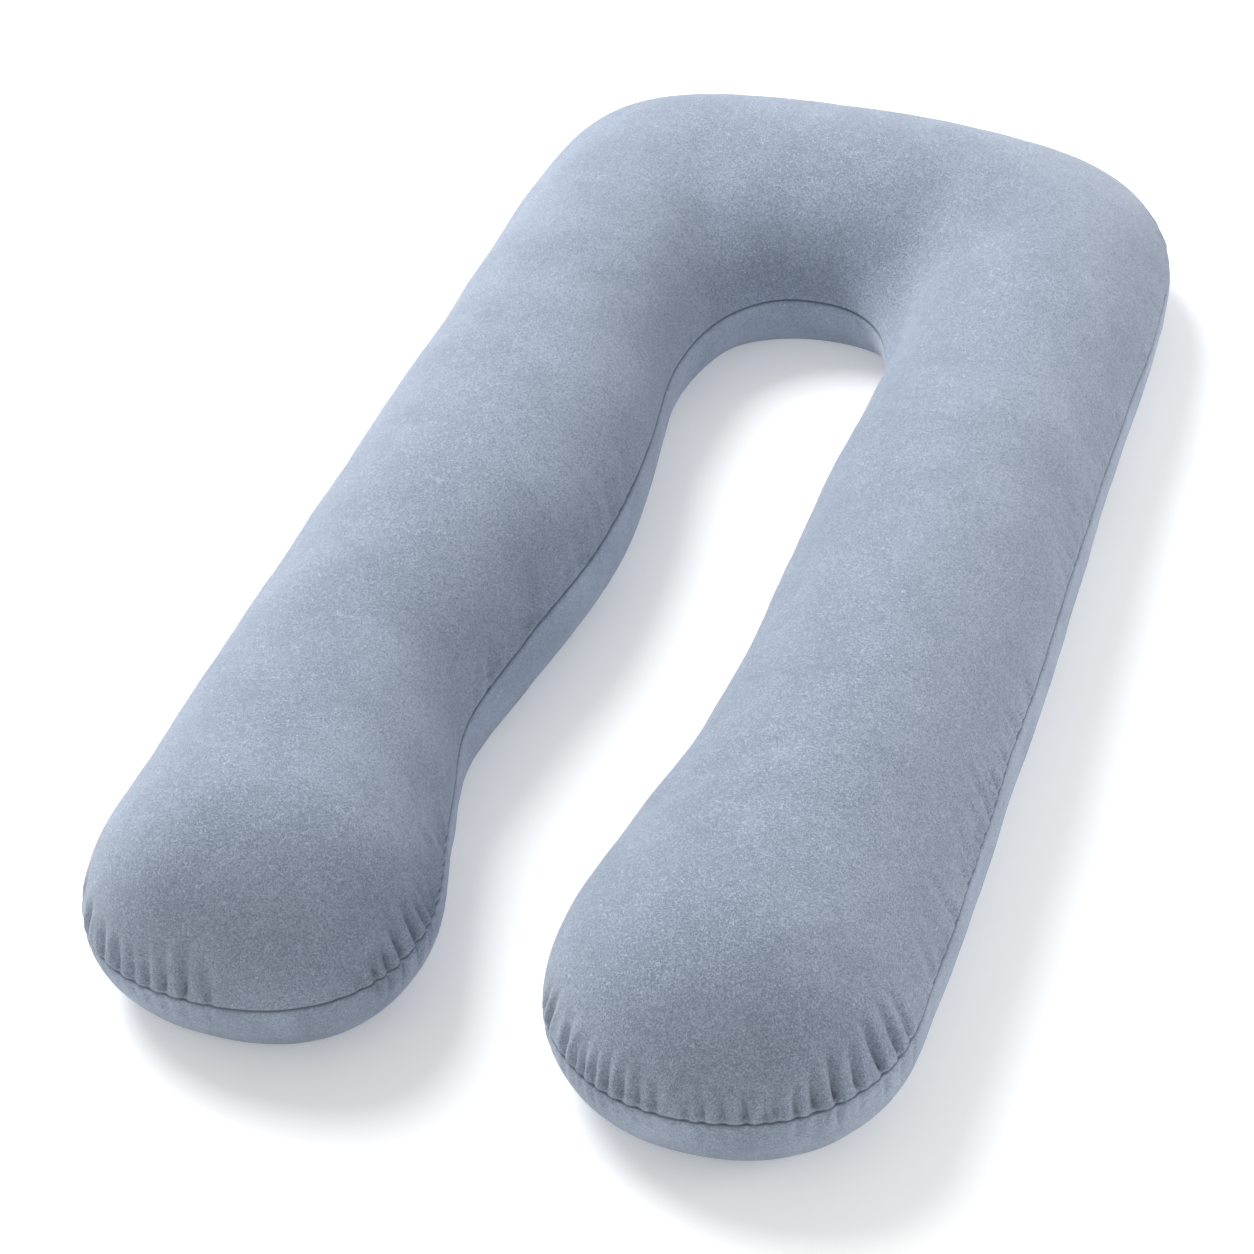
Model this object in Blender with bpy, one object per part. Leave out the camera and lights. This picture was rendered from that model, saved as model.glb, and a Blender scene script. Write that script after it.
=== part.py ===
"""U-shaped pregnancy pillow: one stuffed form, two velvet panels sewn edge to edge.

Metres, +Z up. The pillow lies on its bottom panel at z = 0, with its head toward +Y and
its two leg ends toward -Y. The origin is under the middle of its plan.

The form is a loft. Ribs cross the two legs and the head bend, each from the pillow's outer
edge to its inner edge, with the ridge of the filling over its middle. At each leg end the
edge turns round a half oval about the last rib's middle.
"""

from collections import namedtuple

import bpy
import numpy as np

NAME = "pillow"
COLLECTION = "pregnancy_pillow"

# Cross-section of the filling: near enough an ellipse over its widest line, fuller under it
WIDEST_Z = 0.068
TOP_POWER = 1.85
BOTTOM_POWER = 2.15
BOTTOM_SAG = 0.037

# The legs, from the last straight station at the ends up to the start of the head bend
Station = namedtuple("Station", "y outer_x inner_x crown_z")
LEFT_LEG = (
    Station(y=-0.56, outer_x=-0.375, inner_x=-0.064, crown_z=0.205),
    Station(y=-0.44, outer_x=-0.373, inner_x=-0.092, crown_z=0.203),
    Station(y=-0.32, outer_x=-0.370, inner_x=-0.116, crown_z=0.200),
    Station(y=-0.20, outer_x=-0.369, inner_x=-0.100, crown_z=0.200),
    Station(y=-0.06, outer_x=-0.368, inner_x=-0.076, crown_z=0.200),
    Station(y=0.10, outer_x=-0.365, inner_x=-0.081, crown_z=0.199),
    Station(y=0.26, outer_x=-0.360, inner_x=-0.102, crown_z=0.195),
)
RIGHT_LEG = (
    Station(y=-0.56, outer_x=0.371, inner_x=0.048, crown_z=0.197),
    Station(y=-0.44, outer_x=0.373, inner_x=0.065, crown_z=0.199),
    Station(y=-0.32, outer_x=0.372, inner_x=0.088, crown_z=0.201),
    Station(y=-0.20, outer_x=0.371, inner_x=0.098, crown_z=0.202),
    Station(y=-0.06, outer_x=0.369, inner_x=0.099, crown_z=0.196),
    Station(y=0.10, outer_x=0.365, inner_x=0.098, crown_z=0.190),
    Station(y=0.26, outer_x=0.361, inner_x=0.105, crown_z=0.180),
)

# The leg ends: half ovals a little squarer than an ellipse
LEFT_END_LENGTH = 0.142
LEFT_END_POWER = 2.31
RIGHT_END_LENGTH = 0.163
RIGHT_END_POWER = 2.19

# The head bend: a nearly elliptical arc inside, a rounded rectangle outside
HEAD_BACK_Y = 0.724
INNER_ARC_DEPTH = 0.158
INNER_ARC_POWER = 2.3
LEFT_CORNER_POWER = 5.45
RIGHT_CORNER_POWER = 4.4
LEFT_CORNER_CROWN_Z = 0.192
MIDDLE_CROWN_Z = 0.194
RIGHT_CORNER_CROWN_Z = 0.182
RIGHT_CORNER_TOP_POWER = 1.63

# The seam between the panels: its height at places round the pillow, counted as a share of
# the way round from the left leg's outer side at the end, up and over the head
SeamMark = namedtuple("SeamMark", "place way_round z")
SEAM = (
    SeamMark("left leg, outer side", 0.100, 0.082),
    SeamMark("head, back", 0.250, 0.074),
    SeamMark("head, right corner", 0.310, 0.074),
    SeamMark("right leg, outer side", 0.460, 0.092),
    SeamMark("right leg, end", 0.545, 0.075),
    SeamMark("right leg, inner side", 0.660, 0.068),
    SeamMark("head, inner arc", 0.750, 0.070),
    SeamMark("left leg, inner bulge", 0.838, 0.093),
    SeamMark("left leg, waist", 0.885, 0.083),
    SeamMark("left leg, end", 0.955, 0.070),
)
SEAM_DRAWN_IN = 0.003

# Gathers at the leg ends: troughs that leave the seam at right angles. The turn is 0 degrees
# on the leg's inner side for the left end and on its outer side for the right end.
Gather = namedtuple("Gather", "turn depth length")
LEFT_END_GATHERS = (
    Gather(turn=7, depth=0.0055, length=0.075),
    Gather(turn=19, depth=0.0055, length=0.060),
    Gather(turn=25, depth=0.0050, length=0.050),
    Gather(turn=32, depth=0.0040, length=0.040),
    Gather(turn=40, depth=0.0025, length=0.030),
    Gather(turn=88, depth=0.0035, length=0.045),
    Gather(turn=94, depth=0.0045, length=0.050),
    Gather(turn=100, depth=0.0035, length=0.045),
    Gather(turn=106, depth=0.0030, length=0.040),
    Gather(turn=112, depth=0.0025, length=0.035),
    Gather(turn=119, depth=0.0030, length=0.035),
    Gather(turn=128, depth=0.0030, length=0.035),
    Gather(turn=141, depth=0.0035, length=0.040),
    Gather(turn=156, depth=0.0035, length=0.040),
)
RIGHT_END_GATHERS = (
    Gather(turn=12, depth=0.0030, length=0.060),
    Gather(turn=19, depth=0.0050, length=0.055),
    Gather(turn=27, depth=0.0055, length=0.055),
    Gather(turn=36, depth=0.0040, length=0.045),
    Gather(turn=45, depth=0.0055, length=0.050),
    Gather(turn=52, depth=0.0045, length=0.045),
    Gather(turn=59, depth=0.0035, length=0.035),
    Gather(turn=66, depth=0.0025, length=0.030),
    Gather(turn=73, depth=0.0035, length=0.035),
    Gather(turn=80, depth=0.0030, length=0.030),
    Gather(turn=86, depth=0.0030, length=0.030),
    Gather(turn=96, depth=0.0030, length=0.030),
    Gather(turn=102, depth=0.0035, length=0.035),
    Gather(turn=108, depth=0.0035, length=0.035),
    Gather(turn=114, depth=0.0035, length=0.040),
    Gather(turn=121, depth=0.0035, length=0.040),
    Gather(turn=133, depth=0.0035, length=0.040),
    Gather(turn=147, depth=0.0040, length=0.045),
)
GATHER_HALF_TURN = 2.4
GATHER_RISE = 0.008
GATHER_SHARE_BELOW_SEAM = 0.4

# Soft valleys across the crown, where the cover turns from the legs into the head
Valley = namedtuple("Valley", "place start end depth half_width")
VALLEYS = (
    Valley("head, left inner corner", (-0.085, 0.350), (-0.150, 0.500), 0.006, 0.030),
    Valley("head, right inner corner", (0.104, 0.320), (0.114, 0.560), 0.007, 0.034),
    Valley("right leg, inner side", (0.120, -0.445), (0.190, -0.408), 0.003, 0.018),
)
VALLEY_FADE = 0.04
VALLEY_RISE = 0.03

# How finely the form is cut into faces
LEG_RIBS = 34
HEAD_RIBS = 48
END_STEPS = 84
TOP_ROW_ANGLES = (70, 52, 34, 20, 11, 5)
BOTTOM_ROW_SHARES = (0.86, 0.50, 0.20, 0.0)
BASE_ROW_SHARES = (0.5,)

VELVET_COLOUR = (0.32, 0.36, 0.44, 1.0)
VELVET_ROUGHNESS = 0.9

Plan = namedtuple("Plan", "edge rib middle crown power turn")


def curve_through(places, values, at):
    """Smooth curve through the values given at rising places, read at other places."""
    places, values = np.asarray(places, float), np.asarray(values, float)
    slopes = np.gradient(values, places)
    start = np.clip(np.searchsorted(places, at, side="right") - 1, 0, len(places) - 2)
    width = places[start + 1] - places[start]
    t = (at - places[start]) / width
    rise = values[start + 1] - values[start]
    ease = t * t * (3 - 2 * t)
    lead_in = t * (1 - t) ** 2 * width * slopes[start]
    lead_out = t * t * (1 - t) * width * slopes[start + 1]
    return values[start] + rise * ease + lead_in - lead_out


def leg_ribs(stations):
    """Outer edge, inner edge and crown height of a leg's ribs, from its end to the head.

    Stations mirrored past both ends make the sides run straight into the end and the head.
    """
    first, second = stations[:2]
    before_last, last = stations[-2:]
    past_end = second._replace(y=2 * first.y - second.y)
    past_head = before_last._replace(y=2 * last.y - before_last.y)
    ys, outer_xs, inner_xs, crown_zs = zip(past_end, *stations, past_head)
    y = np.linspace(first.y, last.y, LEG_RIBS)
    outer = np.column_stack([curve_through(ys, outer_xs, y), y])
    inner = np.column_stack([curve_through(ys, inner_xs, y), y])
    return outer, inner, curve_through(ys, crown_zs, y)


def oval(turn, power):
    """Sideways and outward shares of a half oval: an ellipse at power 2, squarer above it."""
    across, out = np.cos(turn), np.sin(turn)
    return np.sign(across) * np.abs(across) ** (2 / power), out ** (2 / power)


def head_ribs():
    """Outer edge, inner edge, crown height and top power of the head's ribs, left to right."""
    left, right = LEFT_LEG[-1], RIGHT_LEG[-1]
    turn = np.linspace(np.pi, 0, HEAD_RIBS + 2)[1:-1]
    across, back = oval(turn, INNER_ARC_POWER)
    inner_x = (left.inner_x + right.inner_x + (right.inner_x - left.inner_x) * across) / 2
    inner = np.column_stack([inner_x, left.y + INNER_ARC_DEPTH * back])
    across, back = np.cos(turn), np.sin(turn)
    power = np.where(across < 0, LEFT_CORNER_POWER, RIGHT_CORNER_POWER)
    stretch = (np.abs(across) ** power + back ** power) ** (-1 / power)
    middle_x = (left.outer_x + right.outer_x) / 2
    half_width = (right.outer_x - left.outer_x) / 2
    outer_x = middle_x + half_width * across * stretch
    outer = np.column_stack([outer_x, left.y + (HEAD_BACK_Y - left.y) * back * stretch])
    crowns = [right.crown_z, RIGHT_CORNER_CROWN_Z, MIDDLE_CROWN_Z, LEFT_CORNER_CROWN_Z, left.crown_z]
    powers = [TOP_POWER, RIGHT_CORNER_TOP_POWER, TOP_POWER, TOP_POWER, TOP_POWER]
    knots = [0, 45, 90, 135, 180]
    crown = curve_through(knots, crowns, np.degrees(turn))
    return outer, inner, crown, curve_through(knots, powers, np.degrees(turn))


def leg_end(start, stop, length, power, turn):
    """Edge of a leg end: the half oval from one side of the last rib to the other."""
    sideways, outward = oval(turn, power)
    edge = (start + stop) / 2 + sideways[:, None] * (start - stop) / 2
    edge[:, 1] -= outward * length
    return edge


def seam_heights(edge):
    """Height of the seam at each point of the edge."""
    steps = np.linalg.norm(np.roll(edge, -1, axis=0) - edge, axis=1)
    way_round = (np.cumsum(steps) - steps) / steps.sum()
    marks = [(mark.way_round + lap, mark.z) for lap in (-1, 0, 1) for mark in SEAM]
    return curve_through(*zip(*marks), way_round)


def reach_at(z, crown, top_power):
    """Share of the way from the ridge to the edge that the filling reaches at height z."""
    above = np.clip((z - WIDEST_Z) / (crown - WIDEST_Z), 0, 1)
    below = np.clip((WIDEST_Z - z) / (WIDEST_Z + BOTTOM_SAG), 0, 1)
    top = (1 - above ** top_power) ** (1 / top_power)
    bottom = (1 - below ** BOTTOM_POWER) ** (1 / BOTTOM_POWER)
    return np.where(z >= WIDEST_Z, top, bottom)


def grid_normals(rows):
    """Outward unit normals of the grid of rows, each row a closed loop round the pillow."""
    along = np.roll(rows, -1, axis=1) - np.roll(rows, 1, axis=1)
    down = np.gradient(rows, axis=0)
    normals = np.cross(along, down)
    return normals / np.linalg.norm(normals, axis=2, keepdims=True)


def gather_depths(rows, seam_row, gathers, turns):
    """Depth of the gathers over the rows of one leg end."""
    steps = np.linalg.norm(np.diff(rows, axis=0), axis=2)
    distance = np.zeros(rows.shape[:2])
    distance[1:] = np.cumsum(steps, axis=0)
    distance = np.abs(distance - distance[seam_row])
    share = np.ones(len(rows))
    share[seam_row + 1:] = GATHER_SHARE_BELOW_SEAM
    depths = np.zeros(rows.shape[:2])
    for gather in gathers:
        across = np.exp(-((turns - gather.turn) / GATHER_HALF_TURN) ** 2)
        rise = np.clip(distance / GATHER_RISE, 0.25, 1)
        fall = np.clip(1 - distance / gather.length, 0, 1)
        depths += gather.depth * across * rise * fall * share[:, None]
    return depths


def valley_depths(points):
    """Depth of the soft valleys over points of the crown."""
    depths = np.zeros(points.shape[:-1])
    for valley in VALLEYS:
        start, end = np.array(valley.start), np.array(valley.end)
        line = end - start
        length = np.linalg.norm(line)
        offset = points[..., :2] - start
        along = offset @ line / length
        aside = np.abs(offset @ np.array([-line[1], line[0]])) / length
        beyond = np.clip(np.maximum(-along, along - length), 0, None)
        trough = np.exp(-(aside / valley.half_width) ** 2 - (beyond / VALLEY_FADE) ** 2)
        depths += valley.depth * trough
    return depths


def pillow_plan():
    """The pillow from above: its ribs, and its whole edge with the rib that each point is on."""
    left_outer, left_inner, left_crown = leg_ribs(LEFT_LEG)
    right_outer, right_inner, right_crown = leg_ribs(RIGHT_LEG)
    head_outer, head_inner, head_crown, head_power = head_ribs()
    outer = np.concatenate([left_outer, head_outer, right_outer[::-1]])
    inner = np.concatenate([left_inner, head_inner, right_inner[::-1]])
    crown = np.concatenate([left_crown, head_crown, right_crown[::-1]])
    leg_power = np.full(LEG_RIBS, TOP_POWER)
    power = np.concatenate([leg_power, head_power, leg_power])

    turn = np.linspace(0, np.pi, END_STEPS + 2)[1:-1]
    right_sides = right_outer[0], right_inner[0]
    right_end = leg_end(*right_sides, RIGHT_END_LENGTH, RIGHT_END_POWER, turn)
    left_sides = left_inner[0], left_outer[0]
    left_end = leg_end(*left_sides, LEFT_END_LENGTH, LEFT_END_POWER, turn)
    edge = np.concatenate([outer, right_end, inner[::-1], left_end])
    ribs = np.arange(len(outer))
    at_right_end = np.full(END_STEPS, ribs[-1])
    at_left_end = np.full(END_STEPS, ribs[0])
    rib = np.concatenate([ribs, at_right_end, ribs[::-1], at_left_end])
    return Plan(edge, rib, (outer + inner) / 2, crown, power, np.degrees(turn))


def section_rows(plan):
    """Rows of points round the pillow, from under its ridge down to its base."""
    crown, middle = plan.crown[plan.rib], plan.middle[plan.rib]
    seam = seam_heights(plan.edge)
    heights = [seam + (crown - seam) * np.sin(np.radians(angle)) for angle in TOP_ROW_ANGLES]
    heights += [seam]
    heights += [seam * share for share in BOTTOM_ROW_SHARES]
    reaches = [reach_at(z, crown, plan.power[plan.rib]) for z in heights]
    heights += [np.zeros(len(seam)) for share in BASE_ROW_SHARES]
    reaches += [reaches[-1] * share for share in BASE_ROW_SHARES]
    rows = []
    for z, reach in zip(heights, reaches):
        xy = middle + (plan.edge - middle) * reach[:, None]
        rows.append(np.column_stack([xy, z]))
    return np.array(rows)


def pressed_in(rows, plan):
    """The rows with the valleys, the drawn-in seam and the gathers pressed into them."""
    seam_row = len(TOP_ROW_ANGLES)
    over_seam = rows[:, :, 2] - rows[seam_row, :, 2]
    depths = valley_depths(rows) * np.clip(over_seam / VALLEY_RISE, 0, 1)
    depths[seam_row] += SEAM_DRAWN_IN
    ribs = len(plan.middle)
    right = slice(ribs, ribs + END_STEPS)
    left = slice(-END_STEPS, None)
    depths[:, right] += gather_depths(rows[:, right], seam_row, RIGHT_END_GATHERS, plan.turn)
    depths[:, left] += gather_depths(rows[:, left], seam_row, LEFT_END_GATHERS, plan.turn)
    depths[rows[:, :, 2] <= 0] = 0
    return rows - grid_normals(rows) * depths[:, :, None]


def strip_faces(upper, lower):
    """Faces between two loops of point numbers, without the doubled points of a shared rib."""
    faces = []
    for i in range(len(upper)):
        j = (i + 1) % len(upper)
        corners = [upper[i], upper[j], lower[j], lower[i]]
        faces.append(list(dict.fromkeys(corners)))
    return faces


def build_pillow():
    """The pillow as one closed mesh, set with its plan's middle over the origin."""
    plan = pillow_plan()
    rows = pressed_in(section_rows(plan), plan)
    ridge_line = np.column_stack([plan.middle, plan.crown])
    ridge_line[:, 2] -= valley_depths(ridge_line)
    base_line = np.column_stack([plan.middle, np.zeros(len(plan.middle))])
    points = np.concatenate([ridge_line, rows.reshape(-1, 3), base_line])
    low, high = points.min(axis=0), points.max(axis=0)
    points[:, :2] -= (low[:2] + high[:2]) / 2

    around = len(plan.edge)
    loops = [len(ridge_line) + row * around + np.arange(around) for row in range(len(rows))]
    loops = [plan.rib] + loops + [len(points) - len(base_line) + plan.rib]
    faces = []
    for upper, lower in zip(loops, loops[1:]):
        faces += strip_faces(upper.tolist(), lower.tolist())

    mesh = bpy.data.meshes.new(NAME)
    mesh.from_pydata(points.tolist(), [], faces)
    mesh.shade_smooth()
    return mesh


def velvet():
    """The cover: greyish blue short-pile velvet."""
    material = bpy.data.materials.new("velvet")
    material.use_nodes = True
    shader = material.node_tree.nodes["Principled BSDF"]
    shader.inputs["Base Color"].default_value = VELVET_COLOUR
    shader.inputs["Roughness"].default_value = VELVET_ROUGHNESS
    shader.inputs["Metallic"].default_value = 0.0
    material.diffuse_color = VELVET_COLOUR
    return material


def main():
    """Clear the scene and add the pillow in a collection of its own."""
    for item in list(bpy.data.objects):
        bpy.data.objects.remove(item, do_unlink=True)
    collection = bpy.data.collections.new(COLLECTION)
    bpy.context.scene.collection.children.link(collection)
    pillow = bpy.data.objects.new(NAME, build_pillow())
    pillow.data.materials.append(velvet())
    collection.objects.link(pillow)


main()
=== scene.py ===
import logging
import math
from dataclasses import dataclass, replace
from enum import Enum

import bpy
import numpy as np
from mathutils import Matrix, Vector


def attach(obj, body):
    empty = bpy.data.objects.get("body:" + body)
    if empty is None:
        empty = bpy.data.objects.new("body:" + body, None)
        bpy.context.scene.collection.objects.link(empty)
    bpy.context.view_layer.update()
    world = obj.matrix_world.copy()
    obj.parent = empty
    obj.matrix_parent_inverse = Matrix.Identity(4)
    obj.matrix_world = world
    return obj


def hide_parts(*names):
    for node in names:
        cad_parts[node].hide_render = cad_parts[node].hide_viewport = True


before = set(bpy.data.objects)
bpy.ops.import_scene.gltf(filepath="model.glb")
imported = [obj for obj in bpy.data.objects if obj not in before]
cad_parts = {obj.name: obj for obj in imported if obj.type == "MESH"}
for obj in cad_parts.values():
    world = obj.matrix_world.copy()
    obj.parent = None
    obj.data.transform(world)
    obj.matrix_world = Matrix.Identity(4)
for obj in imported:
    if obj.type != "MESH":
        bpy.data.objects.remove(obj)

LOG = logging.getLogger("pregnancy_pillow")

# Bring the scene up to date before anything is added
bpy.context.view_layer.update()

# How far each point of the cover is over the seam, in metres, kept for the velvet's panels and its
# painted shade along the seam
SEAM_ATTRIBUTE = "over_seam"

Array = np.ndarray
Row = tuple[float, ...]


class Stretch(Enum):
    """Stretches of the pillow's edge, in the order that they follow each other."""

    LEFT_OUTER = "left leg, outer side"
    HEAD_BACK = "head, back"
    RIGHT_OUTER = "right leg, outer side"
    RIGHT_END = "right leg, end"
    RIGHT_INNER = "right leg, inner side"
    HEAD_ARC = "head, inner arc"
    LEFT_INNER = "left leg, inner side"
    LEFT_END = "left leg, end"


@dataclass(frozen=True)
class Station:
    """A rib of a leg: where it crosses the leg's two sides, and the crown over it."""

    y: float
    outer_x: float
    inner_x: float
    crown_z: float


@dataclass(frozen=True)
class SeamMark:
    """A height of the seam, at a share of the way round the pillow."""

    place: str
    way_round: float
    z: float


@dataclass(frozen=True)
class Fold:
    """A trough that leaves the seam at about right angles, with the cloth heaped beside it."""

    place: float
    depth: float
    length: float
    half_width: float = 0.0034
    lean: float = 0.0
    below: float = 0.4


@dataclass(frozen=True)
class FineFolds:
    """A run of thin stretch lines that rise from the seam, spread by seeded draws."""

    stretch: Stretch
    first: float
    last: float
    count: int
    depth: float
    length: float
    lean: float = 0.0
    place_scatter: float = 0.4
    depth_range: tuple[float, float] = (0.4, 1.2)
    length_range: tuple[float, float] = (0.6, 1.3)
    width_range: tuple[float, float] = (0.0024, 0.0040)
    lean_scatter: float = 0.25
    below: float = 0.15

    def folds(self, draw: np.random.Generator) -> tuple[Fold, ...]:
        """The lines of the run.

        Args:
            draw: Where the uneven places, depths and lengths come from.

        Returns:
            One fold for each line.
        """
        places = np.linspace(self.first, self.last, self.count)
        scatter = draw.uniform(-self.place_scatter, self.place_scatter, self.count)
        places += scatter * (places[1] - places[0])
        return tuple(
            Fold(
                place=float(place),
                depth=self.depth * draw.uniform(*self.depth_range),
                length=self.length * draw.uniform(*self.length_range),
                half_width=draw.uniform(*self.width_range),
                lean=self.lean + draw.uniform(-self.lean_scatter, self.lean_scatter),
                below=self.below,
            )
            for place in places
        )


@dataclass(frozen=True)
class Valley:
    """A soft trough across the crown, between two points of the plan."""

    start: tuple[float, float]
    end: tuple[float, float]
    depth: float
    half_width: float


@dataclass
class CoverGrid:
    """The cover as rows of points, each row a loop round the pillow, from ridge to base."""

    points: Array
    rib: Array
    seam_row: int
    along: Array
    over_seam: Array
    places: dict[Stretch, tuple[Array, Array]]

    @property
    def round_length(self) -> float:
        """Length of the seam, all the way round."""
        first, last = self.points[self.seam_row, 0], self.points[self.seam_row, -1]
        return float(self.along[-1] + np.linalg.norm(first - last))

    def foot(self, stretch: Stretch, place: float) -> float:
        """Way along the seam of a place: its y on a leg, its turn in degrees on a bend."""
        places, along = self.places[stretch]
        return float(np.interp(place, places, along))

    def normals(self) -> Array:
        """Outward unit normals, straight up on the ridge and straight down on the base.

        Returns:
            One normal for each point of the grid.
        """
        along = np.roll(self.points, -1, axis=1) - np.roll(self.points, 1, axis=1)
        normals = np.cross(along, np.gradient(self.points, axis=0))
        normals[0] = (0, 0, 1)
        normals[-1] = (0, 0, -1)
        return normals / np.linalg.norm(normals, axis=2, keepdims=True)

    def shared(self, values: Array) -> Array:
        """The grid's values point by point, with those that loops share given once.

        Args:
            values: The values over the grid.

        Returns:
            The values of the mesh's points, in their order.
        """
        first_at_rib = np.unique(self.rib, return_index=True)[1]
        inside = values[1:-1].reshape(-1, *values.shape[2:])
        return np.concatenate([values[0, first_at_rib], inside, values[-1, first_at_rib]])

    def spread(self, values: Array) -> Array:
        """The values of shared points laid out over the grid again.

        Args:
            values: The values of the mesh's points, in their order.

        Returns:
            The values over the grid.
        """
        rows, around = self.points.shape[:2]
        ribs = int(self.rib.max()) + 1
        inside = values[ribs:-ribs].reshape(rows - 2, around, *values.shape[1:])
        return np.concatenate([values[self.rib][None], inside, values[-ribs:][self.rib][None]])

    def halved(self) -> "CoverGrid":
        """The same cover with every second row and every second point of each."""
        return CoverGrid(
            self.points[::2, ::2], self.rib[::2] // 2, self.seam_row // 2,
            self.along[::2], self.over_seam[::2, ::2], self.places)

    def faces(self) -> tuple[Array, list[list[int]]]:
        """Points and faces of the closed cover.

        Returns:
            The points, with those that neighbouring loops share given once, and the faces.
        """
        rows, around = self.points.shape[:2]
        ribs = int(self.rib.max()) + 1
        points = self.shared(self.points)
        loops = [self.rib]
        loops += [ribs + row * around + np.arange(around) for row in range(rows - 2)]
        loops += [len(points) - ribs + self.rib]
        faces = []
        for upper, lower in zip(loops, loops[1:]):
            corners = np.column_stack([upper, np.roll(upper, -1), np.roll(lower, -1), lower])
            faces += [list(dict.fromkeys(face)) for face in corners.tolist()]
        return points, faces


def curve_through(places: Row, values: Row, at: Array) -> Array:
    """Smooth curve through values given at rising places.

    Args:
        places: Where the values are given, rising.
        values: The values there.
        at: Where the curve is read.

    Returns:
        The curve's values, one for each place read.
    """
    places, values = np.asarray(places, float), np.asarray(values, float)
    slopes = np.gradient(values, places)
    start = np.clip(np.searchsorted(places, at, side="right") - 1, 0, len(places) - 2)
    width = places[start + 1] - places[start]
    t = (at - places[start]) / width
    rise = values[start + 1] - values[start]
    lead_in = t * (1 - t) ** 2 * width * slopes[start]
    lead_out = t * t * (1 - t) * width * slopes[start + 1]
    return values[start] + rise * t * t * (3 - 2 * t) + lead_in - lead_out


def oval(turn: Array, power: float) -> tuple[Array, Array]:
    """Sideways and outward shares of a half oval: an ellipse at power 2, squarer above it."""
    across, out = np.cos(turn), np.sin(turn)
    return np.sign(across) * np.abs(across) ** (2 / power), out ** (2 / power)


def doubled(values: Array) -> Array:
    """Values of a halved grid smoothly filled in again, round the loops and then down the rows.

    Args:
        values: The values over the halved grid.

    Returns:
        The values over the full grid.
    """
    ahead, behind = np.roll(values, -1, axis=1), np.roll(values, 1, axis=1)
    between = (9 * (values + ahead) - behind - np.roll(values, -2, axis=1)) / 16
    rows = np.stack([values, between], axis=2).reshape(len(values), -1, *values.shape[2:])
    padded = np.concatenate([rows[:1], rows, rows[-1:]])
    between = (9 * (padded[1:-2] + padded[2:-1]) - padded[:-3] - padded[3:]) / 16
    full = np.empty((2 * len(rows) - 1, *rows.shape[1:]))
    full[::2], full[1::2] = rows, between
    return full


def graded(count: int, start: float) -> Array:
    """Shares from 0 to 1 whose steps widen from the given part of an even step."""
    even = np.linspace(0, 1, count + 1)
    return start * even + (1 - start) * even ** 2


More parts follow.
